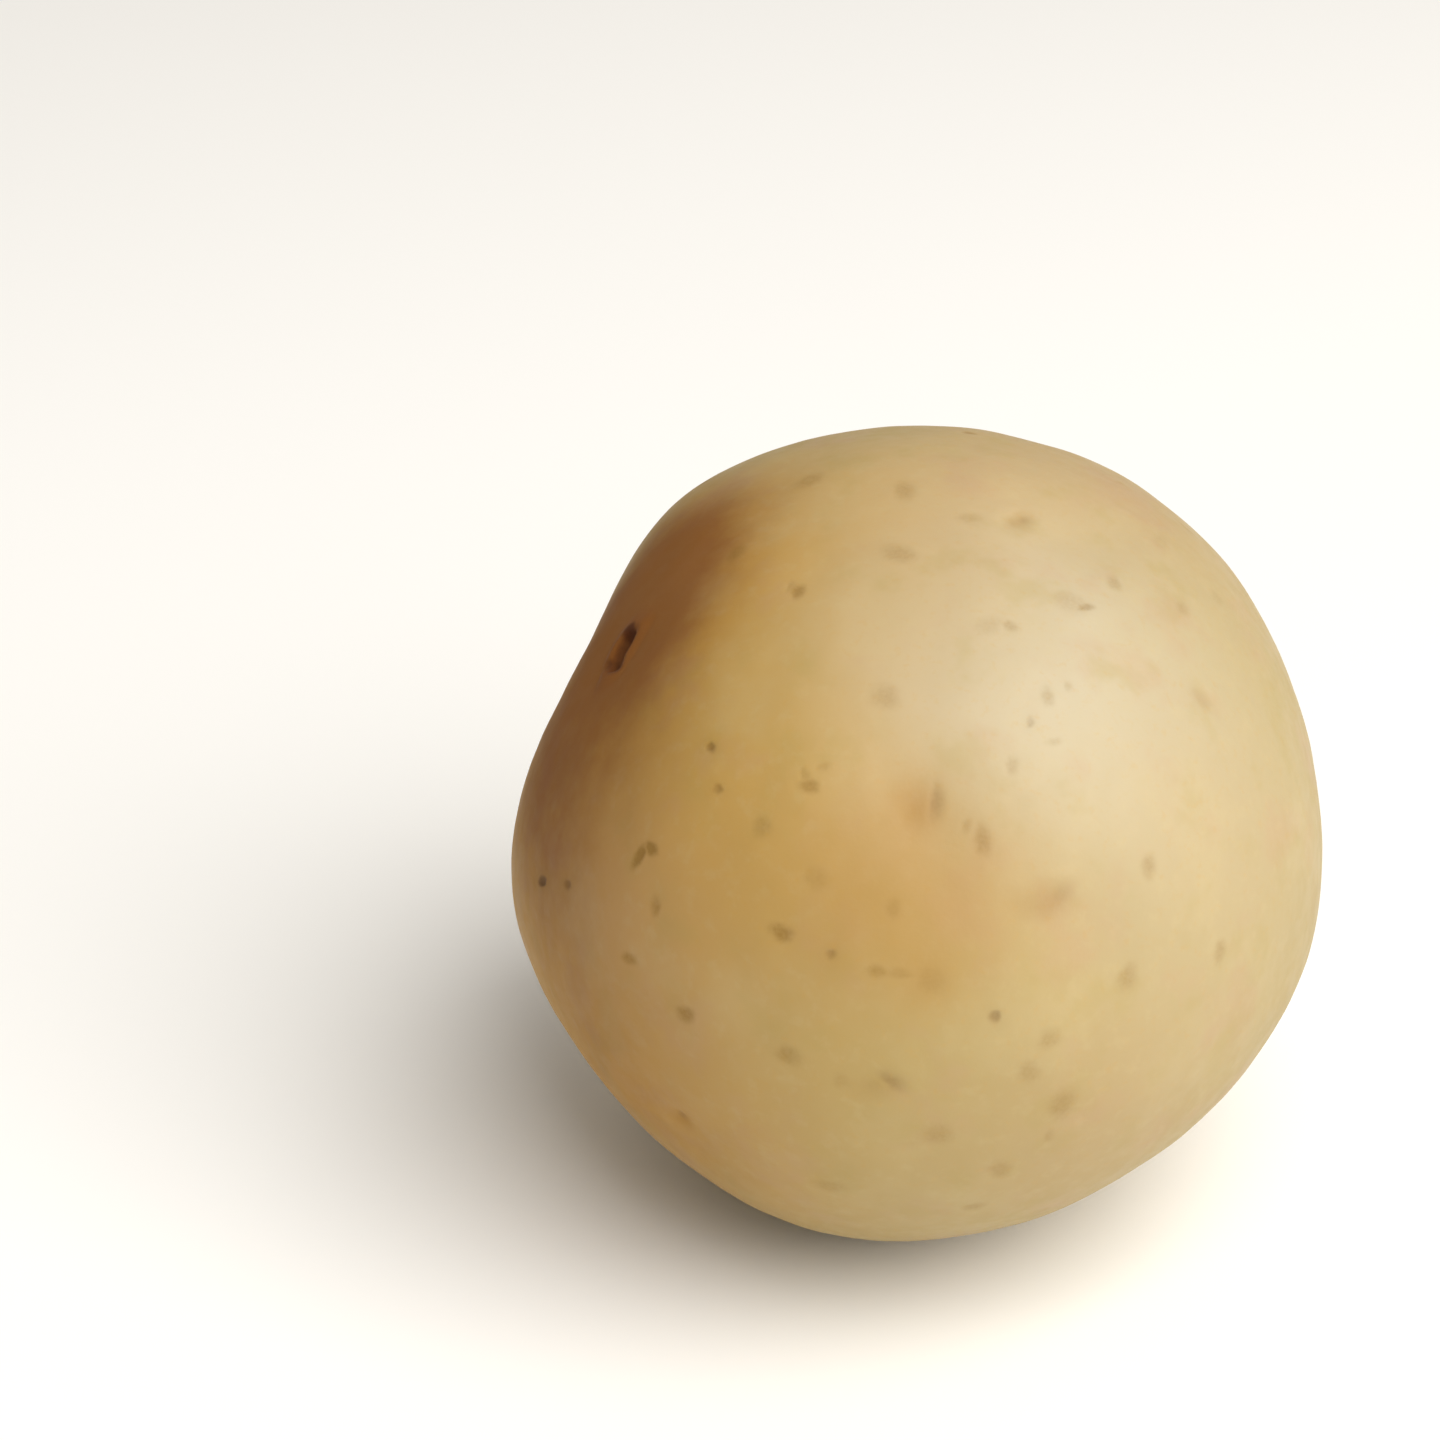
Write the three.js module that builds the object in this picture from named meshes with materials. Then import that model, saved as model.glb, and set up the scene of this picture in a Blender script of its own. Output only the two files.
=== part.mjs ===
// A table potato, as dug and washed: one solid tuber with no separate pieces. Millimetres, +Z up. The origin
// is under the middle of its bounding box, on the small flat spot that it rests on. +Y runs along its length,
// from the bud end to the stem end, and +X runs across it.
import * as THREE from "three";
import { mergeVertices } from "three/addons/utils/BufferGeometryUtils.js";

// Driving dimensions of the plain body, before the swells and hollows are added.
const LENGTH = 84;
const WIDTH = 73;
const HEIGHT = 70;
// Above 2, the body is fuller between its axes than an ellipsoid.
const FULLNESS = 2.1;

// The flat spot: the body is sunk this far into the plane it rests on, and the rim is rounded over this
// height.
const SINK = 1.6;
const RIM = 0.6;

// Each of the icosahedron's 20 faces is split into the square of this many triangles.
const SPLITS = 20;

// Broad swells (rise above 0) and hollows (rise below 0), in millimetres. Azimuth runs anticlockwise from +X
// seen from above, elevation is above the horizon, and spread is the angle at which a swell has fallen to
// about 60% of its rise.
const SWELLS = [
  { name: "nose on the left", azimuth: 184, elevation: -5, rise: 1.5, spread: 16 },
  { name: "fuller crown", azimuth: 100, elevation: 62, rise: 1.9, spread: 26 },
  { name: "knuckle above the upper left hollow", azimuth: 151, elevation: 45, rise: 0.9, spread: 11 },
  { name: "hollow on the upper left shoulder", azimuth: 168, elevation: 22, rise: -2, spread: 12 },
  { name: "fuller right shoulder", azimuth: 36, elevation: 46, rise: 0.4, spread: 15 },
  { name: "slack right flank", azimuth: 6, elevation: 16, rise: -0.6, spread: 14 },
  { name: "flatter lower left cheek", azimuth: 209, elevation: -42, rise: -1.8, spread: 21 },
  { name: "flatter lower right cheek", azimuth: -38, elevation: -50, rise: -3.4, spread: 26 },
  { name: "flatter lower back", azimuth: 78, elevation: -24, rise: -1.4, spread: 20 },
];

// The eyes: shallow hollows that the buds sit in. They follow a loose spiral, closer together at the bud end.
const EYES = [
  { azimuth: -89, elevation: 30 },
  { azimuth: -68, elevation: 13 },
  { azimuth: -121, elevation: -20 },
  { azimuth: 201, elevation: 38 },
  { azimuth: -32, elevation: 68 },
  { azimuth: -14, elevation: -24 },
  { azimuth: 28, elevation: 14 },
  { azimuth: 148, elevation: -26 },
  { azimuth: 74, elevation: 50 },
  { azimuth: 133, elevation: 18 },
  { azimuth: 52, elevation: -30 },
];
const EYE_DEPTH = 0.9;
const EYE_SPREAD = 6;

// The stem end: the dimple where the tuber grew from its runner.
const STEM_END = { azimuth: 96, elevation: 6 };
const STEM_DEPTH = 1.8;
const STEM_SPREAD = 9;

const FLESH_SKIN = new THREE.MeshStandardMaterial({
  name: "potato_skin",
  color: new THREE.Color(0.78, 0.62, 0.38),
  roughness: 0.5,
  metalness: 0,
});

const radians = THREE.MathUtils.degToRad;

function directionOf({ azimuth, elevation }) {
  const level = Math.cos(radians(elevation));
  return new THREE.Vector3(
    level * Math.cos(radians(azimuth)),
    level * Math.sin(radians(azimuth)),
    Math.sin(radians(elevation)),
  );
}

// How far a direction is inside a round patch about another: 1 in its middle, falling smoothly to 0.
function closeness(direction, middle, spread) {
  return Math.exp((direction.dot(middle) - 1) / radians(spread) ** 2);
}

// Distance from the centre to the plain body's surface, along a unit direction.
function bodyRadius({ x, y, z }) {
  const across = Math.abs((2 * x) / WIDTH) ** FULLNESS;
  const along = Math.abs((2 * y) / LENGTH) ** FULLNESS;
  const up = Math.abs((2 * z) / HEIGHT) ** FULLNESS;
  return (across + along + up) ** (-1 / FULLNESS);
}

const bumps = [
  ...SWELLS.map((s) => ({ ...s, middle: directionOf(s) })),
  ...EYES.map((e) => ({ rise: -EYE_DEPTH, spread: EYE_SPREAD, middle: directionOf(e) })),
  { rise: -STEM_DEPTH, spread: STEM_SPREAD, middle: directionOf(STEM_END) },
];

function skinRadius(direction) {
  const rises = bumps.map((b) => b.rise * closeness(direction, b.middle, b.spread));
  return bodyRadius(direction) + rises.reduce((sum, rise) => sum + rise, 0);
}

// Lays what is below the resting plane onto it, with a rounded rim, and leaves what is above alone.
function restOnPlane(height) {
  if (height >= RIM) return height;
  return height <= -RIM ? 0 : (height + RIM) ** 2 / (4 * RIM);
}

function makePotato() {
  const ball = new THREE.IcosahedronGeometry(1, SPLITS - 1);
  ball.deleteAttribute("normal");
  ball.deleteAttribute("uv");
  const geometry = mergeVertices(ball, 1e-5);
  const places = geometry.getAttribute("position");
  const point = new THREE.Vector3();
  const centreHeight = skinRadius(new THREE.Vector3(0, 0, -1)) - SINK;
  for (let i = 0; i < places.count; i++) {
    point.fromBufferAttribute(places, i).normalize();
    point.multiplyScalar(skinRadius(point));
    places.setXYZ(i, point.x, point.y, restOnPlane(point.z + centreHeight));
  }
  geometry.computeBoundingBox();
  const middle = geometry.boundingBox.getCenter(new THREE.Vector3());
  geometry.translate(-middle.x, -middle.y, 0);
  geometry.computeVertexNormals();
  const potato = new THREE.Mesh(geometry, FLESH_SKIN);
  potato.name = "potato";
  return potato;
}

const group = new THREE.Group();
group.name = "potato";
group.add(makePotato());

export default group;
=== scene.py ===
# %% [markdown]
# # A table potato
# This lesson builds the skin of one washed yellow potato around a plain solid that already has the right
# size and shape. The solid is the frame: it is never moved or changed. Everything here is in metres, +Z
# is up, and the potato rests on a small flat spot at z = 0. Its bud end points along -Y and its stem end
# along +Y.

# %% Load the frame
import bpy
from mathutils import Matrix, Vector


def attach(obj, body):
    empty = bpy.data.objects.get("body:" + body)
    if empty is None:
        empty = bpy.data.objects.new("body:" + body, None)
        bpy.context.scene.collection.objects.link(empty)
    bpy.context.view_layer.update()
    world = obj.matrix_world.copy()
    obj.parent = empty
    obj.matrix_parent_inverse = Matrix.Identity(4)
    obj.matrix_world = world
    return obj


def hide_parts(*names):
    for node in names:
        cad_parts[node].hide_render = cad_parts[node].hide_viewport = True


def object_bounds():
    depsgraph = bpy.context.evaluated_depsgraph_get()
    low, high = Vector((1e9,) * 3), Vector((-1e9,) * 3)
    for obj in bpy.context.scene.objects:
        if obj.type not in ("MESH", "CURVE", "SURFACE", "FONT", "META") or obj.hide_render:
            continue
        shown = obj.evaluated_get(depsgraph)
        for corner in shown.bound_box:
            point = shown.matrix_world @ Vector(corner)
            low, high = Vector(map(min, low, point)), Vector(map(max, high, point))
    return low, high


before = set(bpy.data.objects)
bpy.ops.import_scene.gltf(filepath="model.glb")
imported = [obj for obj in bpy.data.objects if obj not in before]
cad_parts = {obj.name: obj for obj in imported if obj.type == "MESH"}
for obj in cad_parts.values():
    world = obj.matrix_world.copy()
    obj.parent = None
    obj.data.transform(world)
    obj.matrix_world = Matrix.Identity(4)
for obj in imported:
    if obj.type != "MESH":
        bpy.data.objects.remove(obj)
cad_box = [list(corner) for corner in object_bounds()]

import math
import random
import bpy
import numpy as np
from mathutils import Vector

MM = 0.001
low, high = (Vector(corner) for corner in cad_box)
HEART = (low + high) / 2
SIZE = high - low
print("solid, mm:", [round(side / MM, 1) for side in SIZE])


# %% [markdown]
# ## Camera
# The camera looks a little down on the potato, from straight in front of its bud end. It is aimed at a
# point up and to the left of the potato's middle, so the potato sits low and right in the view. Turning
# the camera does this, because a lens shift would follow the camera to every other view.

# %% Camera
CAMERA_ELEVATION = math.radians(26)
CAMERA_DISTANCE = 0.365
LENS_MM = 100
SENSOR_MM = 36
CLIP_START = 0.01
# How far right of and below the middle of the view the potato's middle lies, as shares of its width.
RIGHT_SHARE = 0.137
BELOW_SHARE = 0.070

back = Vector((0, -math.cos(CAMERA_ELEVATION), math.sin(CAMERA_ELEVATION)))
right = Vector((1, 0, 0))
up = back.cross(right)
view_width = CAMERA_DISTANCE * SENSOR_MM / LENS_MM
aim = HEART - right * RIGHT_SHARE * view_width + up * BELOW_SHARE * view_width

camera_data = bpy.data.cameras.new("camera")
camera_data.lens = LENS_MM
camera_data.sensor_width = SENSOR_MM
camera_data.clip_start = CLIP_START
camera = bpy.data.objects.new("camera", camera_data)
camera.location = HEART + back * CAMERA_DISTANCE
camera.rotation_mode = "QUATERNION"
camera.rotation_quaternion = (aim - camera.location).to_track_quat("-Z", "Y")
bpy.context.scene.collection.objects.link(camera)
bpy.context.scene.camera = camera
print("camera at, mm:", [round(side / MM) for side in camera.location])


# %% [markdown]
# ## Floor and light
# A washed potato has a soft, broad shine. One large soft light, above it and to its right, gives it. The
# room around it is pale and slightly warm, and brighter behind the potato and to its right, so its far
# sides are not lost in the shade. The floor is part of the stage and not of the potato.

# %% Floor
FLOOR_SIDE = 3.0
FLOOR_COLOUR = (0.93, 0.935, 0.95, 1)
FLOOR_ROUGHNESS = 0.9
FLOOR_SPECULAR = 0.2


def clear_selection():
    """Operators act on all that is selected, and the frame arrives selected."""
    bpy.ops.object.select_all(action="DESELECT")


def direction(azimuth, elevation):
    """Unit vector; azimuth runs anticlockwise from +X seen from above. Angles in radians."""
    level = math.cos(elevation)
    return Vector((level * math.cos(azimuth), level * math.sin(azimuth), math.sin(elevation)))


clear_selection()
bpy.ops.mesh.primitive_plane_add(size=FLOOR_SIDE, location=(0, 0, 0))
floor = bpy.context.object
floor.name = "floor"
floor_paint = bpy.data.materials.new("pale_floor")
floor_paint.use_nodes = True
floor_shader = floor_paint.node_tree.nodes["Principled BSDF"]
floor_shader.inputs["Base Color"].default_value = FLOOR_COLOUR
floor_shader.inputs["Roughness"].default_value = FLOOR_ROUGHNESS
floor_shader.inputs["Specular IOR Level"].default_value = FLOOR_SPECULAR
floor.data.materials.append(floor_paint)
print("floor, m:", FLOOR_SIDE)

# %% Room
ROOM_COLOUR = (1.0, 0.93, 0.83, 1)
ROOM_STRENGTH = 0.32
# The room's strength drifts by about this much either way, and is greatest towards this side.
ROOM_DRIFT = 0.24
ROOM_BRIGHT_SIDE = (0.6, 0.7, 0.45)

room = bpy.data.worlds.new("pale_room")
room.use_nodes = True
room_nodes = room.node_tree.nodes
ways = room_nodes.new("ShaderNodeTexCoord")
facing = room_nodes.new("ShaderNodeVectorMath")
facing.operation = "DOT_PRODUCT"
facing.inputs[1].default_value = ROOM_BRIGHT_SIDE
drift = room_nodes.new("ShaderNodeMath")
drift.operation = "MULTIPLY_ADD"
drift.inputs[1].default_value = ROOM_DRIFT
drift.inputs[2].default_value = ROOM_STRENGTH
room.node_tree.links.new(ways.outputs["Generated"], facing.inputs[0])
room.node_tree.links.new(facing.outputs["Value"], drift.inputs[0])
room.node_tree.links.new(drift.outputs[0], room_nodes["Background"].inputs["Strength"])
room_nodes["Background"].inputs["Color"].default_value = ROOM_COLOUR
bpy.context.scene.world = room
print("room strength:", ROOM_STRENGTH, "drifting by about", ROOM_DRIFT)

# %% Key light
KEY_SIDE = 1.7
KEY_DISTANCE = 1.5
KEY_POWER = 37.2
KEY_COLOUR = (1.0, 0.98, 0.92)
KEY_AZIMUTH = math.radians(-46)
KEY_ELEVATION = math.radians(46)

key_way = direction(KEY_AZIMUTH, KEY_ELEVATION)
clear_selection()
bpy.ops.object.light_add(type="AREA", location=HEART + key_way * KEY_DISTANCE)
key = bpy.context.object
key.name = "soft_key"
key.data.size = KEY_SIDE
key.data.energy = KEY_POWER
key.data.color = KEY_COLOUR
key.rotation_mode = "QUATERNION"
key.rotation_quaternion = key_way.to_track_quat("Z", "Y")
# Colours are shown as they are, with no film look over them.
bpy.context.scene.view_settings.view_transform = "Standard"
print("key light at, mm:", [round(side / MM) for side in key.location])


# %% [markdown]
# ## A smooth form to work from
# The frame's solid has a few thousand flat facets. A copy of it is merged and rounded with Subdivision
# Surface, which gives the form of the tuber with no facets. It is a tool and not a piece: it is thrown
# away at the end.

# %% Rounded copy of the solid
FORM_LEVELS = 2
MERGE_DISTANCE = 0.01 * MM


def finish_with(piece, kind, **settings):
    """Adds a modifier to the piece, sets it and applies it."""
    bpy.context.view_layer.objects.active = piece
    modifier = piece.modifiers.new(kind.lower(), kind)
    for name, value in settings.items():
        setattr(modifier, name, value)
    bpy.ops.object.modifier_apply(modifier=modifier.name)


clear_selection()
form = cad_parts["potato"].copy()
form.data = form.data.copy()
form.parent = None
form.name = "form"
bpy.context.scene.collection.objects.link(form)
form.select_set(True)
bpy.context.view_layer.objects.active = form
bpy.ops.object.mode_set(mode="EDIT")
bpy.ops.mesh.select_all(action="SELECT")
bpy.ops.mesh.remove_doubles(threshold=MERGE_DISTANCE)
bpy.ops.object.mode_set(mode="OBJECT")
finish_with(form, "SUBSURF", levels=FORM_LEVELS, render_levels=FORM_LEVELS)
print("form faces:", len(form.data.polygons))


# %% [markdown]
# ## The marks on the skin
# A potato's skin carries several kinds of mark. *Eyes* are shallow hollows, rusty round a small dark bud.
# *Corky specks*, or lenticels, are the pores it breathed through. *Pricks* are tiny dark pits. One mark
# here is a deep dark *slit*. The runner that fed the tuber left a round *stem scar*.
#
# Each mark is placed by its azimuth and elevation in degrees about the potato's heart. Then come its
# length and width in millimetres, its turn in degrees from level, and how dark it is, from 0 to 1. The
# marks are listed one by one, so any mark can be moved.

# %% Marks listed one by one: the slit, the scar and the eyes
# A mark is azimuth, elevation, length, width, turn and darkness. The last four have these places in it.
LENGTH, WIDTH, TURN, DARKNESS = 2, 3, 4, 5

SLIT = (-161.3, 37.0, 5.0, 2.7, 107, 1.0)
SLIT_HEAD = (-162.9, 39.9, 1.7, 2.3, 107, 1.0)
SLIT_TAIL = (-160.2, 35.0, 2.6, 3.4, 107, 1.0)
STEM_SCAR = (96, 6, 4.8, 4.2, 0, 1.0)

# Each eye on the near side is a soft rusty blotch, then the dark bud scar inside it.
NEAR_EYES = [
    [(-89.3, 28.4, 4.2, 3.8, 80, 0.4), (-87.3, 28.9, 2.8, 1.3, 88, 0.4)],
    [(-73.2, 16, 4.6, 3.6, 10, 0.45), (-71.6, 17, 2.2, 1.7, 30, 0.25)],
    [(-33, 72.9, 3.9, 2.4, 5, 0.45), (-29, 72.6, 1.7, 1.2, 0, 0.3)],
    [(-36.9, 35.4, 3.4, 2.6, -74, 0.3), (-36.6, 35.2, 2.3, 1.4, -74, 0.2)],
    [(-93.5, -5.4, 4.4, 2.8, 10, 0.35), (-92.2, -4.8, 2.6, 1.4, -35, 0.4)],
]
FAR_EYES = [
    (-122, -20.5, 3.6, 2.4, 70, 0.45),
    (-14, -24, 3.8, 2.8, 0, 0.5),
    (28, 14, 4.2, 3.0, 10, 0.6),
    (148, -26, 3.8, 2.8, -10, 0.55),
    (74, 50, 4.2, 3.0, 15, 0.6),
    (133, 18, 4.4, 3.2, 0, 0.65),
    (52, -30, 3.8, 2.6, 10, 0.5),
]
print("eyes:", len(NEAR_EYES) + len(FAR_EYES))

# %% Marks listed one by one: the pricks and the corky specks
PRICKS = [
    (-122.8, 32, 1.0, 0.9, 0, 0.5),
    (-151.2, 3.6, 2.2, 0.8, 28, 1.0),
    (-143, 7, 1.5, 0.8, 24, 0.55),
    (-99.6, 10.5, 0.9, 0.9, 0, 0.35),
    (-80.3, 3.6, 1.1, 1.0, 0, 0.45),
    (-71.7, 38.3, 1.0, 0.7, 80, 0.3),
    (-118.8, 27.2, 1.0, 0.9, 20, 0.4),
]
SPECKS = [
    (-128.4, 16.2, 2.1, 1.15, 69, 1.0),
    (-126.9, 17.6, 1.6, 1.0, -15, 1.0),
    (-105.7, 11.9, 2.3, 1.3, -10, 0.75),
    (-124, 57.5, 1.8, 1.3, -62, 0.7),
    (-127, 58, 1.5, 0.9, -62, 0.4),
    (-95.6, 42.6, 2.6, 2.4, 0, 0.4),
    (-105, 29.8, 1.8, 1.1, -10, 0.65),
    (-106.3, 31, 1.4, 0.9, -50, 0.4),
    (-103.8, 32.5, 1.2, 0.9, 40, 0.35),
    (-110.8, 24, 2.0, 1.7, -30, 0.45),
    (170, 73, 2.8, 2.6, 5, 0.45),
    (-125, 85, 3.4, 2.0, -55, 0.45),
    (-156, 59, 2.4, 1.7, -30, 0.55),
    (-97.7, 68.1, 3.2, 2.4, -10, 0.45),
    (-59, 76.5, 2.6, 2.0, 0, 0.35),
    (-32.8, 55.4, 2.4, 1.4, 38, 0.45),
    (-48.5, 53.5, 1.9, 0.9, -5, 0.65),
    (-50.5, 55.2, 3.6, 2.8, -15, 0.35),
    (-69.6, 53.1, 1.4, 1.3, -60, 0.45),
    (-74, 53.6, 2.8, 2.2, 20, 0.3),
    (-22, 46.5, 1.8, 1.6, 0, 0.35),
    (1, 53.4, 4.0, 1.6, 0, 0.25),
    (-6, 43, 2.2, 1.7, 40, 0.25),
    (-67.3, 41.4, 2.1, 1.2, 72, 0.4),
    (-71.5, 45, 2.4, 1.2, 60, 0.1),
    (-63, 42.5, 1.1, 0.8, 80, 0.35),
    (-68.5, 35.5, 1.5, 0.8, 0, 0.3),
    (-76, 33, 1.7, 1.2, 78, 0.35),
    (-83.2, 26, 1.3, 0.9, 85, 0.35),
    (-81.3, 24, 2.6, 1.5, 85, 0.5),
    (-124, 10.8, 1.7, 1.3, 97, 0.55),
    (-127.9, 2.8, 2.0, 1.1, 17, 0.6),
    (-117.9, -1.1, 2.1, 1.4, 17, 0.65),
    (-102.5, 19, 2.2, 2.0, -10, 0.35),
    (-92.5, 16, 1.7, 1.3, 80, 0.4),
    (-94, 9, 1.8, 1.1, 5, 0.5),
    (-91.3, 8.7, 2.4, 0.9, 0, 0.4),
    (-88, 7.8, 2.6, 2.3, 80, 0.35),
    (-104.4, -2.8, 2.2, 1.9, 10, 0.5),
    (-98, -5.3, 1.8, 1.5, -40, 0.3),
    (-59, 18.5, 2.2, 1.4, 85, 0.45),
    (-49.3, 5.3, 2.2, 1.5, 65, 0.45),
    (-45.5, 7, 1.2, 0.9, 10, 0.1),
    (-63.4, 5.9, 2.4, 1.8, 55, 0.45),
    (-74, -0.2, 2.1, 1.9, 10, 0.4),
    (-76.3, -4, 2.0, 2.1, 50, 0.4),
    (-71.8, -9.6, 2.7, 2.8, 10, 0.45),
    (-73, -14, 1.8, 0.9, 90, 0.35),
    (-86.4, -12.6, 2.6, 2.5, 0, 0.4),
    (-78.6, -19.2, 1.9, 2.7, 20, 0.4),
    (-81, -27, 2.0, 1.6, 0, 0.4),
    (-55.5, -13, 2.6, 1.6, 30, 0.1),
    (-100, -23, 3.0, 1.8, 0, 0.35),
]
print("pricks and specks by hand:", len(PRICKS), len(SPECKS))


# %% [markdown]
# The far sides need as many specks as the near side. Nothing fixes where they lie, so they are scattered.
# The scatter is seeded, which makes it the same every time. A new speck that would land too near another
# mark, or on the near side, whose marks are listed one by one, is dropped and tried again.

# %% Marks scattered over the far sides
FAR_SPECKS = 62
FAR_PRICKS = 9
CLEARANCE_DEGREES = 8.5
NEAR_SIDE_DEGREES = 84
# Drawing the elevation's sine spreads marks evenly over a ball. It stops short of the flat spot.
ELEVATION_SINES = (-0.96, 1)
FAR_DARKNESS = (0.15, 0.75)
scatter = random.Random(11)


def mark_way(mark):
    """The direction of a mark from the heart. An azimuth and an elevation alone will do."""
    azimuth, elevation = mark[:2]
    return direction(math.radians(azimuth), math.radians(elevation))


near_way = back.normalized()
by_hand = [STEM_SCAR, SLIT, *(eye for eye, _ in NEAR_EYES), *FAR_EYES, *PRICKS, *SPECKS]
placed_ways = [mark_way(mark) for mark in by_hand]


def scattered(count, lengths, fullness):
    """Marks on the far sides, clear of all the others; lengths in mm, fullness as width over length."""
    made = []
    while len(made) < count:
        azimuth = scatter.uniform(-180, 180)
        elevation = math.degrees(math.asin(scatter.uniform(*ELEVATION_SINES)))
        length = scatter.uniform(*lengths)
        width = length * scatter.uniform(*fullness)
        turn = scatter.uniform(-90, 90)
        darkness = scatter.uniform(*FAR_DARKNESS)
        mark = (azimuth, elevation, length, width, turn, darkness)
        way = mark_way(mark)
        clear = all(math.degrees(way.angle(other)) > CLEARANCE_DEGREES for other in placed_ways)
        if clear and math.degrees(way.angle(near_way)) > NEAR_SIDE_DEGREES:
            made.append(mark)
            placed_ways.append(way)
    return made


specks = SPECKS + scattered(FAR_SPECKS, lengths=(1.3, 2.9), fullness=(0.45, 0.9))
pricks = PRICKS + scattered(FAR_PRICKS, lengths=(0.8, 1.1), fullness=(0.8, 1.0))
print("specks and pricks in all:", len(specks), len(pricks))

# %% Bud scars of the far eyes
BUD_SHARE = 0.4
BUD_RISE_DEGREES = 1.2
far_buds = [
    (azimuth, elevation + BUD_RISE_DEGREES, length * BUD_SHARE, width * BUD_SHARE, turn, darkness)
    for azimuth, elevation, length, width, turn, darkness in FAR_EYES
]
eyes = [eye for eye, _ in NEAR_EYES] + FAR_EYES
buds = [bud for _, bud in NEAR_EYES] + far_buds
print("bud scars:", len(buds))


# %% [markdown]
# ## The skin's mesh
# An icosphere has triangles of nearly one size, so it has no poles to pinch. It is stretched to a little
# more than the potato's box and shrunk onto the rounded form. Then only the faces near a mark are
# subdivided, so the small pits get fine triangles while the plain skin between them stays light.

# %% A ball shrunk onto the form
BALL_LEVELS = 7
ROOM_FOR_SHRINKING = 1.04

clear_selection()
# A ball one metre across, so that resizing it by a size gives it that size.
bpy.ops.mesh.primitive_ico_sphere_add(subdivisions=BALL_LEVELS, radius=0.5, location=HEART)
potato = bpy.context.object
potato.name = "potato_skin"
bpy.ops.object.mode_set(mode="EDIT")
bpy.ops.mesh.select_all(action="SELECT")
bpy.ops.transform.resize(value=SIZE * ROOM_FOR_SHRINKING, center_override=HEART)
bpy.ops.object.mode_set(mode="OBJECT")
bpy.ops.object.transform_apply(location=True, rotation=True, scale=True)
finish_with(potato, "SHRINKWRAP", target=form, wrap_method="NEAREST_SURFACEPOINT")
print("triangles at first:", len(potato.data.polygons))

# %% [markdown]
# The colours are painted by nodes, but other programs need them as pictures laid over the skin. The ball
# is still smooth here, so this is the time to unfold it. The six sides of a cube make six clean patches,
# which are packed side by side.

# %% Unfold the ball
PATCH_MARGIN = 0.01
bpy.ops.object.mode_set(mode="EDIT")
bpy.ops.mesh.select_all(action="SELECT")
bpy.ops.uv.cube_project(cube_size=SIZE.y)
bpy.ops.uv.pack_islands(margin=PATCH_MARGIN)
bpy.ops.object.mode_set(mode="OBJECT")
potato.data.uv_layers[0].name = "OFBake"
print("maps:", [layer.name for layer in potato.data.uv_layers])

# %% Seats for the marks
def seat(mark):
    """Where a mark sits on the form: its middle, and the ways its length and width run."""
    _, place, normal, _ = form.ray_cast(HEART, mark_way(mark))
    level = Vector((0, 0, 1)).cross(normal).normalized()
    steep = normal.cross(level)
    turn = math.radians(mark[TURN])
    along = level * math.cos(turn) + steep * math.sin(turn)
    return np.array(place), np.array(along), np.array(normal.cross(along))


print("slit sits at, mm:", [round(float(side) / MM, 1) for side in seat(SLIT)[0]])

# %% The vertices as an array
def points():
    """All the skin's vertices, as rows of an array."""
    flat = np.empty(len(potato.data.vertices) * 3)
    potato.data.vertices.foreach_get("co", flat)
    return flat.reshape(-1, 3)


print("vertices at first:", len(points()))

# %% Subdivide near marks
def refine(reaches):
    """Takes pairs of a mark and a reach in mm, and subdivides the faces with a corner that near to one."""
    skin_points = points()
    near = np.zeros(len(skin_points), bool)
    for mark, reach in reaches:
        near |= np.linalg.norm(skin_points - seat(mark)[0], axis=1) < reach * MM
    bpy.context.view_layer.objects.active = potato
    bpy.ops.object.mode_set(mode="EDIT")
    bpy.ops.mesh.select_mode(type="FACE")
    bpy.ops.mesh.select_all(action="DESELECT")
    bpy.ops.object.mode_set(mode="OBJECT")
    for face in potato.data.polygons:
        face.select = any(near[corner] for corner in face.vertices)
    bpy.ops.object.mode_set(mode="EDIT")
    bpy.ops.mesh.subdivide(number_cuts=1)
    bpy.ops.mesh.quads_convert_to_tris(quad_method="BEAUTY", ngon_method="BEAUTY")
    bpy.ops.object.mode_set(mode="OBJECT")
    print("faces:", len(potato.data.polygons))


# %% Finer triangles near the marks
# The first pass reaches further out from a mark's middle than the second. All are in mm.
EYE_REACH = 4.4
EYE_CORE = EYE_REACH / 2
SLIT_REACH = 4.6
SLIT_CORE = SLIT_REACH * 0.75
SPECK_MARGIN = 0.8

deep = [*eyes, STEM_SCAR]
small = specks + pricks
refine(
    [(mark, EYE_REACH) for mark in deep]
    + [(SLIT, SLIT_REACH)]
    + [(mark, mark[LENGTH] / 2 + SPECK_MARGIN) for mark in small]
)
refine(
    [(mark, EYE_CORE) for mark in deep]
    + [(SLIT, SLIT_CORE)]
    + [(mark, mark[LENGTH] / 2) for mark in small]
)
refine([(prick, prick[LENGTH] / 2) for prick in pricks])

# %% Settle the finer skin on the form
finish_with(potato, "SHRINKWRAP", target=form, wrap_method="NEAREST_SURFACEPOINT")
finish_with(potato, "SMOOTH", factor=0.5, iterations=6)
print("box, mm:", [round(float(side) / MM, 2) for side in np.ptp(points(), axis=0)])


# %% [markdown]
# ## Relief
# A sculptor would press the eyes and pits in with a brush. Here a vertex group is the brush's print and a
# Displace modifier is the push. Each group says how strongly each vertex is moved, and the modifier moves
# it in or out along its normal. All prints are taken from the skin as it is now, before it is pressed.
# The colours later use the same outlines, so they fall exactly on the relief.

# %% A soft ramp, and places near a mark
resting = points()


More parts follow.
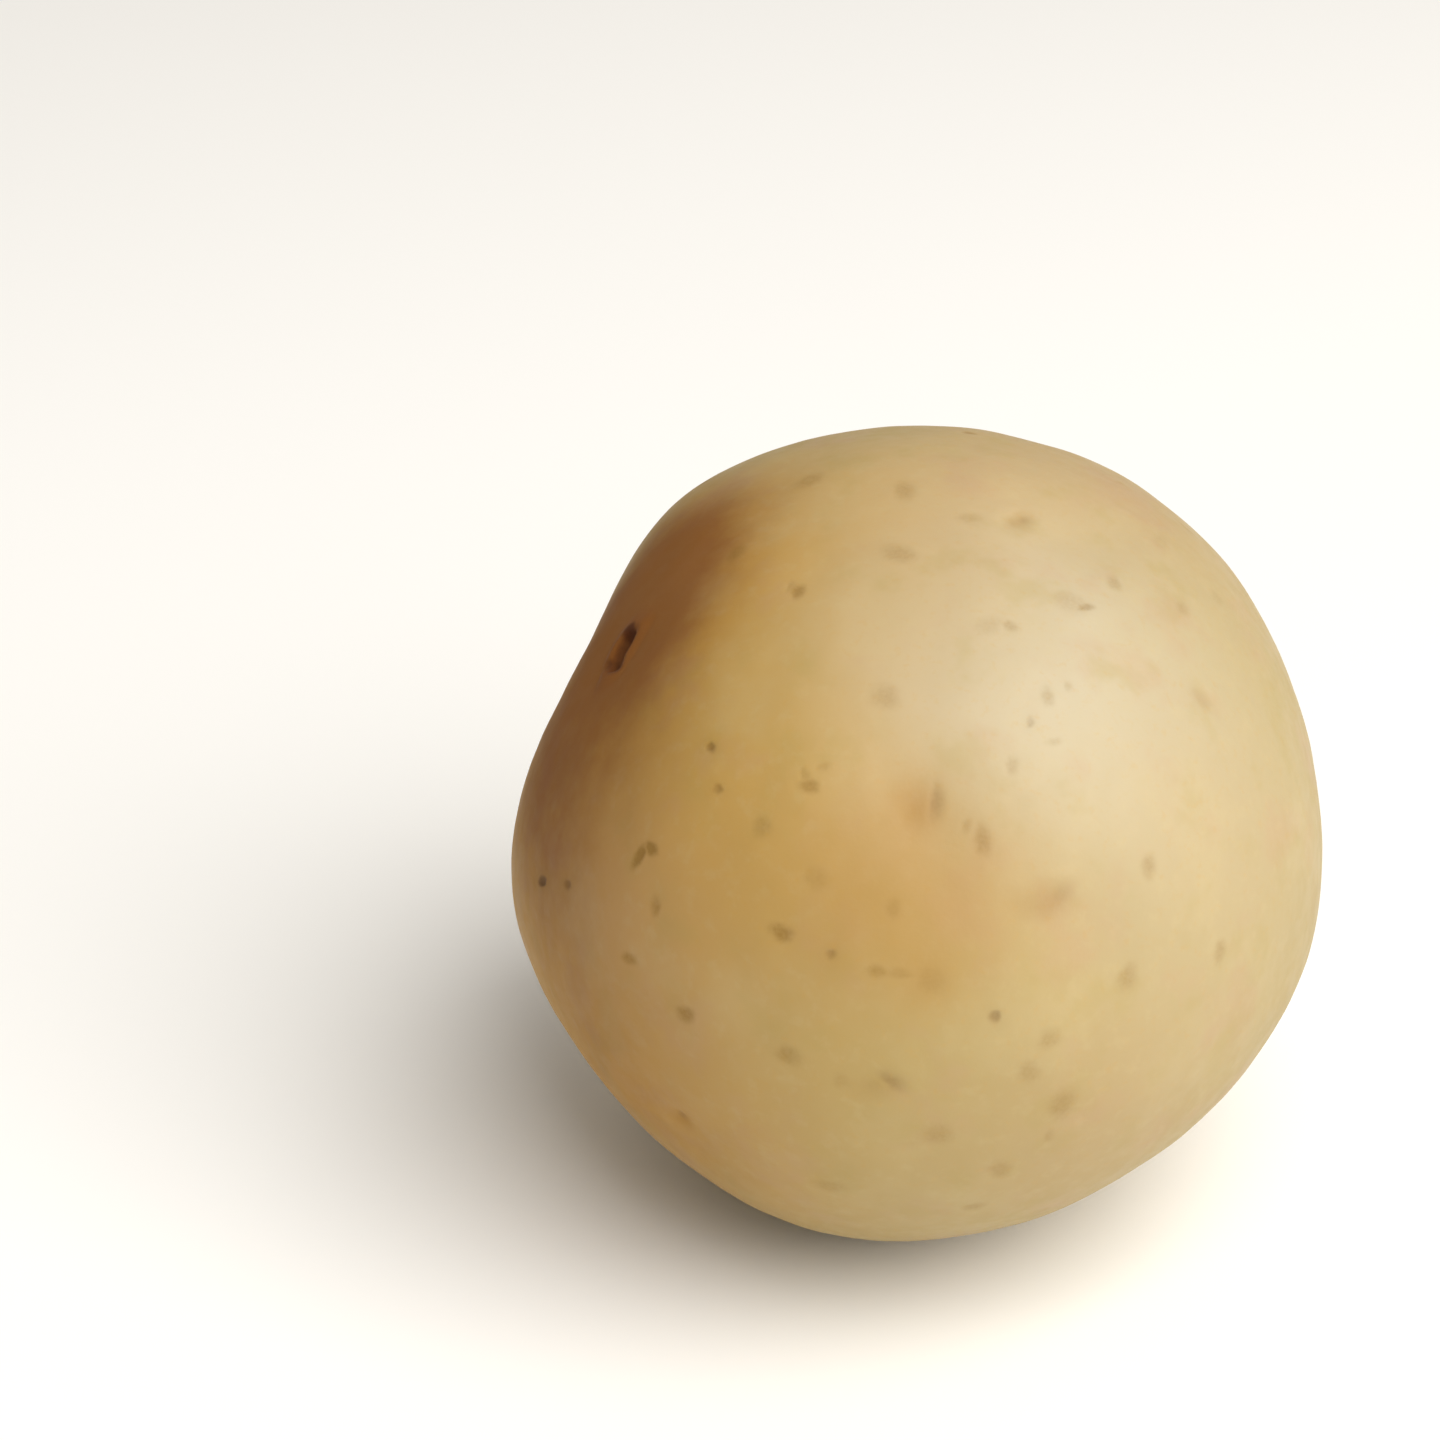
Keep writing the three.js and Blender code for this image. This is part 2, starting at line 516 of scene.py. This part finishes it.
def smooth(edge, middle, value):
    """0 at the edge and beyond, 1 at the middle and beyond, with a smooth ramp between."""
    share = np.clip((value - edge) / (middle - edge), 0, 1)
    return share * share * (3 - 2 * share)


def offsets(mark):
    """How far each vertex lies from a mark's middle, along its length, across it, and in all, in mm."""
    place, along, across = seat(mark)
    away = (resting - place) / MM
    return away @ along, away @ across, np.linalg.norm(away, axis=1)


print("nearest vertex to the slit's middle, mm:", round(float(offsets(SLIT)[2].min()), 2))

# %% The outline of a mark
RAGGED_EDGE = 0.16
# How often each lobe comes round a mark's outline. A lobe that comes round more often is made weaker.
LOBES = (1, 2, 3, 5)
ANY_TURN = (0, 6.28)
# Past this many of its own lengths a mark ends, and everything there counts as far outside its outline.
END_IN_LENGTHS = 3
FAR_OUTSIDE = 9.0
lobe_dice = random.Random(3)


def oval(mark):
    """Distance from a mark's middle where 1 is its outline, which has a few soft lobes of its own."""
    along, across, straight = offsets(mark)
    along = along / (mark[LENGTH] / 2)
    across = across / (mark[WIDTH] / 2)
    angle = np.arctan2(across, along)
    outline = 1 + sum(
        RAGGED_EDGE * np.cos(lobe * angle + lobe_dice.uniform(*ANY_TURN)) / lobe for lobe in LOBES
    )
    inside_reach = straight < END_IN_LENGTHS * mark[LENGTH]
    return np.where(inside_reach, np.hypot(along, across) / outline, FAR_OUTSIDE)


every_mark = [SLIT, SLIT_HEAD, SLIT_TAIL, STEM_SCAR, *eyes, *buds, *specks, *pricks]
ovals = {mark: oval(mark) for mark in every_mark}
print("outlines drawn:", len(ovals))

# %% Prints of the marks
def print_of(marks, edge, middle):
    """The strongest print at each vertex: 0 past the edge, and a mark's own darkness at its middle."""
    return np.max([smooth(edge, middle, ovals[mark]) * mark[DARKNESS] for mark in marks], axis=0)


def ring_of(mark, outer, inner):
    """A ring that is strongest on a mark's outline."""
    return smooth(outer, 1, ovals[mark]) * smooth(inner, 1, ovals[mark])


print("vertices inside the slit's outline:", np.count_nonzero(ovals[SLIT] < 1))

# %% The brow of an eye
# The crescent's radius as a share of the eye's length, and its thickness and greatest reach in mm.
BROW_RADIUS_SHARE = 0.6
BROW_THICKNESS_MM = 0.75
BROW_REACH_MM = 9
# It is a little flattened, leans towards one end of the eye, and fades from its top to its ends.
BROW_FLATNESS = 1.15
BROW_LEAN = 0.3
BROW_ENDS, BROW_TOP = -0.1, 0.9
# Keeps the division safe at the middle of the eye, where the ring shrinks to nothing.
NEVER_ZERO = 1e-6


def brow_of(mark):
    """A soft crescent over an eye, the scar of the leaf that grew there; one end is stronger."""
    along, across, straight = offsets(mark)
    ring = np.hypot(along, across * BROW_FLATNESS)
    height = (across + BROW_LEAN * along) / np.maximum(ring, NEVER_ZERO)
    upper = smooth(BROW_ENDS, BROW_TOP, height)
    ridge = np.exp(-(((ring - mark[LENGTH] * BROW_RADIUS_SHARE) / BROW_THICKNESS_MM) ** 2))
    return np.where(straight < BROW_REACH_MM, ridge * upper * mark[DARKNESS], 0)


brow = np.max([brow_of(eye) for eye in eyes], axis=0)
print("strongest brow:", round(float(brow.max()), 2))

# %% All the prints
prints = {
    "eye_hollow": print_of(eyes, edge=1.7, middle=0.1),
    "bud_pit": print_of(buds, edge=1.6, middle=0.2),
    "brow": brow,
    "slit": print_of([SLIT, SLIT_TAIL], edge=1.2, middle=0.3),
    "slit_lip": ring_of(SLIT, outer=2.0, inner=0.8),
    "speck": print_of(specks, edge=1.4, middle=0.3),
    "prick": print_of(pricks, edge=1.4, middle=0.2),
    "stem_ring": ring_of(STEM_SCAR, outer=1.5, inner=0.6),
    "stem_pit": print_of([STEM_SCAR], edge=0.8, middle=0.2),
}
print("prints:", ", ".join(prints))

# %% Press them in
DEPTHS_MM = {
    "eye_hollow": -0.22,
    "bud_pit": -0.16,
    "brow": 0.06,
    "slit": -0.6,
    "slit_lip": 0.26,
    "speck": -0.05,
    "prick": -0.16,
    "stem_ring": 0.15,
    "stem_pit": -0.5,
}
# A vertex with a strength below this is left out of its group.
FAINTEST = 0.002


def displace(strengths, depth_mm, name):
    """Moves the skin out by depth_mm where the strength is 1; a negative depth presses it in."""
    group = potato.vertex_groups.new(name=name)
    for index in np.nonzero(strengths > FAINTEST)[0]:
        group.add([int(index)], float(strengths[index]), "REPLACE")
    finish_with(
        potato, "DISPLACE", direction="NORMAL", vertex_group=name, mid_level=0, strength=depth_mm * MM
    )
    potato.vertex_groups.remove(potato.vertex_groups[name])


for name, depth in DEPTHS_MM.items():
    displace(prints[name], depth, name)
print("deepest, mm:", min(DEPTHS_MM.values()))

# %% [markdown]
# No skin is perfectly even. Displace modifiers with a cloud texture give it lumps the size of a fingertip
# and finer unevenness. All fade out towards the flat spot, so the potato still lies flat.

# %% Lumps and unevenness
FADE_FROM_MM, FADE_TO_MM = 0.8, 7.0
# Each layer of clouds is a name, the size of its grain and the height of its swell, in mm.
CLOUDS = (
    ("lumps", 13, 0.5),
    ("unevenness", 4.5, 0.10),
    ("ripple", 1.6, 0.02),
)
fade = potato.vertex_groups.new(name="above_the_flat_spot")
for index, weight in enumerate(smooth(FADE_FROM_MM, FADE_TO_MM, resting[:, 2] / MM)):
    fade.add([index], float(weight), "REPLACE")

for name, grain_mm, swell_mm in CLOUDS:
    clouds = bpy.data.textures.new(name, "CLOUDS")
    clouds.noise_scale = grain_mm * MM
    clouds.noise_depth = 1
    finish_with(
        potato,
        "DISPLACE",
        texture=clouds,
        texture_coords="LOCAL",
        vertex_group="above_the_flat_spot",
        mid_level=0.5,
        strength=swell_mm * MM,
    )
potato.vertex_groups.clear()
print("lowest point, mm:", round(float(points()[:, 2].min()) / MM, 3))

# %% Shade it smooth
clear_selection()
potato.select_set(True)
bpy.context.view_layer.objects.active = potato
bpy.ops.object.shade_smooth()
print("smooth faces:", sum(face.use_smooth for face in potato.data.polygons))

# %% [markdown]
# ## Where the colours go
# Each kind of mark leaves a number at every vertex, called its stain. It is the mark's darkness in the
# middle, and fades to 0 near its outline or some way past it. Broad tints, such as the amber cheek
# between the eyes, are stored the same way, as soft patches from a few millimetres to a few centimetres
# wide. The pale tint is mostly a painted highlight, and the gold and umber tints are partly painted shade.

# %% Stains
stains = {
    "speck": print_of(specks, edge=1.75, middle=0.25),
    "eye": print_of(eyes, edge=1.9, middle=0.0),
    "bud": print_of(buds, edge=1.8, middle=0.1),
    "prick": print_of(pricks, edge=1.75, middle=0.4),
    "prick_halo": print_of(pricks, edge=4.0, middle=1.0),
    "slit": print_of([SLIT, SLIT_TAIL], edge=1.4, middle=0.6),
    "slit_edge": print_of([SLIT], edge=2.6, middle=1.0),
    "slit_head": print_of([SLIT_HEAD], edge=1.4, middle=0.4),
    "stem_scar": print_of([STEM_SCAR], edge=1.7, middle=0.6),
    "stem_core": print_of([STEM_SCAR], edge=0.8, middle=0.2),
}
print("stains:", ", ".join(stains))

# %% Where the broad tints lie
# Each soft patch is azimuth, elevation and spread in degrees, and strength.
TINT_PATCHES = {
    # Most pale patches are a painted highlight, paling the skin on the side facing the key light; the one
    # at azimuth 70 is a plain pale tint.
    "pale_and_painted_highlight": [
        (-50, 36, 24, 0.45),
        (-84, 54, 17, 0.95),
        (-60, 82, 20, 0.5),
        (-60, 0, 16, 0.07),
        (70, -20, 24, 0.5),
    ],
    # The gold patches are a gold tint and partly painted warm shade, mostly on the side turned away from
    # the key light.
    "gold_and_painted_shade": [
        (-166, 46, 16, 0.9),
        (-119, 24, 22, 0.62),
        (-166, -3, 28, 0.9),
        (-138, -20, 17, 0.45),
        (-115, -23, 10, 0.3),
        (-110, 80, 22, 0.5),
    ],
    "amber": [
        (-97, 22, 7, 0.5),
        (-83, 18, 7, 0.55),
        (-96, 12, 7, 0.4),
        (-88, 7.6, 3, 0.35),
        (-90.5, 28.6, 3, 0.5),
        (-127, -8, 9, 0.3),
        (60, 20, 10, 0.4),
    ],
    "umber": [
        (-165, 38, 12, 0.95),
        (-180, 51, 12, 0.75),
        (-164, 12, 11, 0.5),
        (-145, 42, 11, 0.24),
        (-136, 29, 9, 0.15),
        (-133, -29, 17, 0.38),
        (-147, 14, 12, 0.34),
        (-145, -5, 14, 0.2),
    ],
    "olive": [
        (-126, 36, 14, 0.35),
        (-114, 64, 14, 0.15),
        (-86, 4, 13, 0.5),
        (120, -10, 16, 0.5),
    ],
    "rose": [
        (-67, -14, 13, 0.35),
        (-47, 22, 12, 0.2),
        (-131, 10, 13, 0.5),
        (30, 55, 16, 0.4),
    ],
}
print("patches of tint:", sum(len(spots) for spots in TINT_PATCHES.values()))

# %% Tints
def tint(spots):
    """Broad soft patches, added up and held to 1 at most."""
    ways = resting - np.array(HEART)
    ways /= np.linalg.norm(ways, axis=1)[:, None]
    total = np.zeros(len(ways))
    for azimuth, elevation, spread, strength in spots:
        middle = np.array(mark_way((azimuth, elevation)))
        total += strength * np.exp((ways @ middle - 1) / math.radians(spread) ** 2)
    return np.clip(total, 0, 1)


tints = {name: tint(spots) for name, spots in TINT_PATCHES.items()}
print("mean of each tint:", {name: round(float(values.mean()), 2) for name, values in tints.items()})

# %% Store them on the mesh
for name, values in {**stains, **tints}.items():
    attribute = potato.data.attributes.new(name, "FLOAT", "POINT")
    attribute.data.foreach_set("value", values.astype(np.float32))
print("stored on the mesh:", len(stains) + len(tints))


# %% [markdown]
# ## Two node groups
# Every stain needs the same crumbly, uneven body, and the plain skin and its shine need mottling at
# several grains. Each of the two is a small node group, built once and placed as often as needed. They
# put out masks only, and the shader stays in the material.

# %% Helpers for nodes
def node(tree, kind, inputs=None, **settings):
    """Adds a node, sets its properties, and fills or links its input sockets."""
    made = tree.nodes.new(kind)
    for name, value in settings.items():
        setattr(made, name, value)
    for name, value in (inputs or {}).items():
        if isinstance(value, bpy.types.NodeSocket):
            tree.links.new(value, made.inputs[name])
        else:
            made.inputs[name].default_value = value
    return made


def maths(tree, operation, *values):
    """The result of one sum on two or three values."""
    return node(tree, "ShaderNodeMath", dict(enumerate(values)), operation=operation).outputs[0]


def new_group(name, inputs, outputs):
    """A shader node group with named number and vector sockets."""
    group = bpy.data.node_groups.new(name, "ShaderNodeTree")
    for socket, kind in inputs:
        group.interface.new_socket(socket, in_out="INPUT", socket_type=kind)
    for socket, kind in outputs:
        group.interface.new_socket(socket, in_out="OUTPUT", socket_type=kind)
    return group, group.nodes.new("NodeGroupInput"), group.nodes.new("NodeGroupOutput")


NUMBER, VECTOR = "NodeSocketFloat", "NodeSocketVector"
print("kinds of socket:", NUMBER, VECTOR)

# %% Group: a crumbly stain
NOISE_MIDDLE = 0.5
NOISE_DETAIL = 3.0

crumble, taken, given = new_group(
    "crumbly_stain",
    [("Place", VECTOR), ("Stain", NUMBER), ("Grain", NUMBER), ("Crumble", NUMBER)],
    [("Mask", NUMBER)],
)
wander = node(
    crumble,
    "ShaderNodeTexNoise",
    {
        "Vector": taken.outputs["Place"],
        "Scale": taken.outputs["Grain"],
        "Detail": NOISE_DETAIL,
        "Roughness": 0.6,
    },
)
centred = maths(crumble, "SUBTRACT", wander.outputs[0], NOISE_MIDDLE)
share = maths(crumble, "MULTIPLY_ADD", centred, taken.outputs["Crumble"], 1.0)
uneven = maths(crumble, "MULTIPLY", taken.outputs["Stain"], share)
ramp = node(crumble, "ShaderNodeMapRange", {"Value": uneven}, interpolation_type="SMOOTHSTEP")
crumble.links.new(ramp.outputs[0], given.inputs["Mask"])
print("group:", crumble.name)

# %% Group: mottling
mottle, taken, given = new_group(
    "mottling",
    [("Place", VECTOR), ("Grain", NUMBER), ("From", NUMBER), ("To", NUMBER)],
    [("Mask", NUMBER)],
)
patchy = node(
    mottle,
    "ShaderNodeTexNoise",
    {
        "Vector": taken.outputs["Place"],
        "Scale": taken.outputs["Grain"],
        "Detail": NOISE_DETAIL,
        "Roughness": 0.55,
    },
)
ramp = node(
    mottle,
    "ShaderNodeMapRange",
    {"Value": patchy.outputs[0], "From Min": taken.outputs["From"], "From Max": taken.outputs["To"]},
    interpolation_type="SMOOTHSTEP",
)
mottle.links.new(ramp.outputs[0], given.inputs["Mask"])
print("group:", mottle.name)


# %% [markdown]
# ## The skin's finish
# A potato's skin is a thin layer of cork over yellow flesh. Washed, it is smooth with a satin shine, and
# its colour drifts between straw, olive, rose and amber. The finish is built up in layers on Base Color,
# from the broadest drift to the darkest pit. Some broad layers are painted light: a painted highlight on
# the side facing the key light, and painted shade on the side turned away from it. Cork is dry, so the
# same masks make the skin rougher where it is corky.

# %% Display colours made linear
def linear(value):
    """One channel of a display colour, from 0 to 1, made linear by the sRGB rule."""
    if value <= 0.04045:
        return value / 12.92
    return ((value + 0.055) / 1.055) ** 2.4


def shade(red, green, blue):
    """A colour from display values of 0 to 255, made linear as the shader needs."""
    return tuple(linear(channel / 255) for channel in (red, green, blue)) + (1.0,)


print("mid grey, linear:", round(shade(128, 128, 128)[0], 3))

# %% Colours
STRAW = shade(170, 149, 98)
# PALE_STRAW_AND_HIGHLIGHT is the colour of a painted highlight on the side facing the key light.
PALE_STRAW_AND_HIGHLIGHT = shade(187, 180, 159)
# GOLD is the colour of the gold tint, which is partly painted warm shade; in the mottling it is plain
# tone.
GOLD = shade(188, 142, 56)
AMBER = shade(166, 126, 62)
UMBER = shade(124, 70, 12)
OLIVE = shade(162, 142, 76)
ROSE = shade(178, 142, 112)
CREAM = shade(188, 170, 128)
SPECK_BROWN = shade(127, 93, 28)
EYE_RUST = shade(138, 92, 24)
BUD_BROWN = shade(104, 66, 28)
PRICK_DARK = shade(102, 66, 6)
SLIT_BROWN = shade(94, 52, 20)
SLIT_DARK = shade(76, 34, 0)
SCAR_BROWN = shade(138, 104, 62)
SCAR_CORE = shade(80, 54, 32)
print("plain straw, linear:", [round(channel, 3) for channel in STRAW])

# %% Start the material
skin = bpy.data.materials.new("potato_skin")
skin.use_nodes = True
tree = skin.node_tree
shader = tree.nodes["Principled BSDF"]
place = node(tree, "ShaderNodeTexCoord").outputs["Object"]
print("material:", skin.name)

# %% Masks and layers
def stored(name):
    """The number that the mesh holds under this name."""
    return node(tree, "ShaderNodeAttribute", attribute_name=name).outputs["Fac"]


def crumbly(name, grain, amount):
    """The mask of a stain."""
    inputs = {"Place": place, "Stain": stored(name), "Grain": grain, "Crumble": amount}
    return node(tree, "ShaderNodeGroup", inputs, node_tree=crumble).outputs["Mask"]


def patches(grain, start, full):
    """The mask of some mottling."""
    inputs = {"Place": place, "Grain": grain, "From": start, "To": full}
    return node(tree, "ShaderNodeGroup", inputs, node_tree=mottle).outputs["Mask"]


# The Mix node has a set of sockets for each type of data. These are the ones it uses for colours.
MIX_FACTOR, MIX_BASE, MIX_LAYER, MIX_RESULT = 0, 6, 7, 2


def over(base, layer, mask, strength):
    """Lays a colour over a base where the mask is 1, at this strength."""
    factor = maths(tree, "MULTIPLY", mask, strength)
    inputs = {MIX_FACTOR: factor, MIX_BASE: base, MIX_LAYER: layer}
    return node(tree, "ShaderNodeMix", inputs, data_type="RGBA").outputs[MIX_RESULT]


# %% Lay the broad colours
# Each layer is the name of its tint, its colour and its strength.
BROAD_LAYERS = (
    # The pale layer is mostly a painted highlight on the side facing the key light.
    ("pale_and_painted_highlight", PALE_STRAW_AND_HIGHLIGHT, 0.9),
    # The gold layer is partly painted warm shade on the side turned away from the key light.
    ("gold_and_painted_shade", GOLD, 0.85),
    ("olive", OLIVE, 0.6),
    ("rose", ROSE, 0.6),
)
colour = STRAW
for name, layer, strength in BROAD_LAYERS:
    colour = over(colour, layer, stored(name), strength)
print("nodes so far:", len(tree.nodes))

# %% Mottle them
# Each layer is its colour, its grain, the noise where it starts and where it is full, and its strength.
MOTTLES = (
    (CREAM, 90, 0.46, 0.70, 0.22),
    (ROSE, 130, 0.52, 0.72, 0.26),
    (OLIVE, 170, 0.52, 0.72, 0.24),
    (CREAM, 620, 0.50, 0.75, 0.16),
    (GOLD, 1500, 0.52, 0.80, 0.16),
)
for layer, grain, start, full, strength in MOTTLES:
    colour = over(colour, layer, patches(grain, start, full), strength)
print("nodes so far:", len(tree.nodes))

# %% Lay the two strong tints
AMBER_STRENGTH = 0.75
UMBER_STRENGTH = 0.86
umber_mask = crumbly("umber", grain=260, amount=0.6)
colour = over(colour, AMBER, stored("amber"), AMBER_STRENGTH)
colour = over(colour, UMBER, umber_mask, UMBER_STRENGTH)
print("nodes so far:", len(tree.nodes))

# %% Lay the stains
FINE, COARSE = 2400, 1100
# Each layer is the name of its stain, its colour, its grain, how much it crumbles and its strength.
STAIN_LAYERS = (
    ("speck", SPECK_BROWN, FINE, 0.9, 0.66),
    ("eye", EYE_RUST, COARSE, 0.5, 0.6),
    ("bud", BUD_BROWN, FINE, 0.8, 0.7),
    ("prick_halo", SPECK_BROWN, COARSE, 0.5, 0.16),
    ("prick", PRICK_DARK, FINE, 0.4, 0.95),
    ("stem_scar", SCAR_BROWN, COARSE, 0.8, 0.8),
    ("stem_core", SCAR_CORE, FINE, 0.6, 0.85),
    ("slit_edge", UMBER, COARSE, 0.4, 0.45),
    ("slit", SLIT_BROWN, FINE, 0.3, 0.85),
    ("slit_head", SLIT_DARK, FINE, 0.3, 0.9),
)
masks = {}
for name, layer, grain, amount, strength in STAIN_LAYERS:
    masks[name] = crumbly(name, grain, amount)
    colour = over(colour, layer, masks[name], strength)
tree.links.new(colour, shader.inputs["Base Color"])
print("nodes so far:", len(tree.nodes))

# %% Shine
SATIN = 0.46
CORK_ROUGHNESS = 0.78
RUSSET_ROUGHNESS = 0.85
WANDER = 0.10
corky = maths(tree, "MAXIMUM", masks["eye"], masks["stem_scar"])
corky = maths(tree, "MAXIMUM", masks["speck"], corky)
corky = maths(tree, "MAXIMUM", corky, stored("slit"))
rub = maths(tree, "MULTIPLY", patches(grain=420, start=0.35, full=0.7), WANDER)
satin = maths(tree, "ADD", rub, SATIN)
corked = maths(tree, "MULTIPLY_ADD", corky, CORK_ROUGHNESS - SATIN, satin)
dulled = maths(tree, "MULTIPLY_ADD", stored("umber"), RUSSET_ROUGHNESS - SATIN, corked)
tree.links.new(dulled, shader.inputs["Roughness"])
print("roughness, plain to corky:", SATIN, CORK_ROUGHNESS)

# %% Fine grain
GRAIN_SCALE = 2600.0
GRAIN_STRENGTH = 0.16
GRAIN_DEPTH = 0.00006
fine_grain = node(
    tree,
    "ShaderNodeTexNoise",
    {"Vector": place, "Scale": GRAIN_SCALE, "Detail": NOISE_DETAIL},
)
bump = node(
    tree,
    "ShaderNodeBump",
    {"Height": fine_grain.outputs[0], "Strength": GRAIN_STRENGTH, "Distance": GRAIN_DEPTH},
)
tree.links.new(bump.outputs[0], shader.inputs["Normal"])
print("depth of the grain, mm:", round(GRAIN_DEPTH / MM, 3))

# %% Glow of the flesh
SKIN_IOR = 1.42
GLOW_WEIGHT = 0.08
# How far red, green and blue light travel under the skin, in metres.
GLOW_RADIUS = (0.0022, 0.0012, 0.0005)
shader.inputs["IOR"].default_value = SKIN_IOR
shader.inputs["Subsurface Weight"].default_value = GLOW_WEIGHT
shader.inputs["Subsurface Radius"].default_value = GLOW_RADIUS
shader.inputs["Subsurface Scale"].default_value = 1.0
print("red light travels, mm:", round(GLOW_RADIUS[0] / MM, 2))

# %% Give the skin its material
potato.data.materials.clear()
potato.data.materials.append(skin)
print("material nodes:", len(tree.nodes))


# %% [markdown]
# ## Hand it over
# The rounded form has done its work and goes. The skin rides on the potato's one body, and the plain
# solid is hidden.

# %% Finish
bpy.data.objects.remove(form)
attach(potato, "root")
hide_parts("potato")
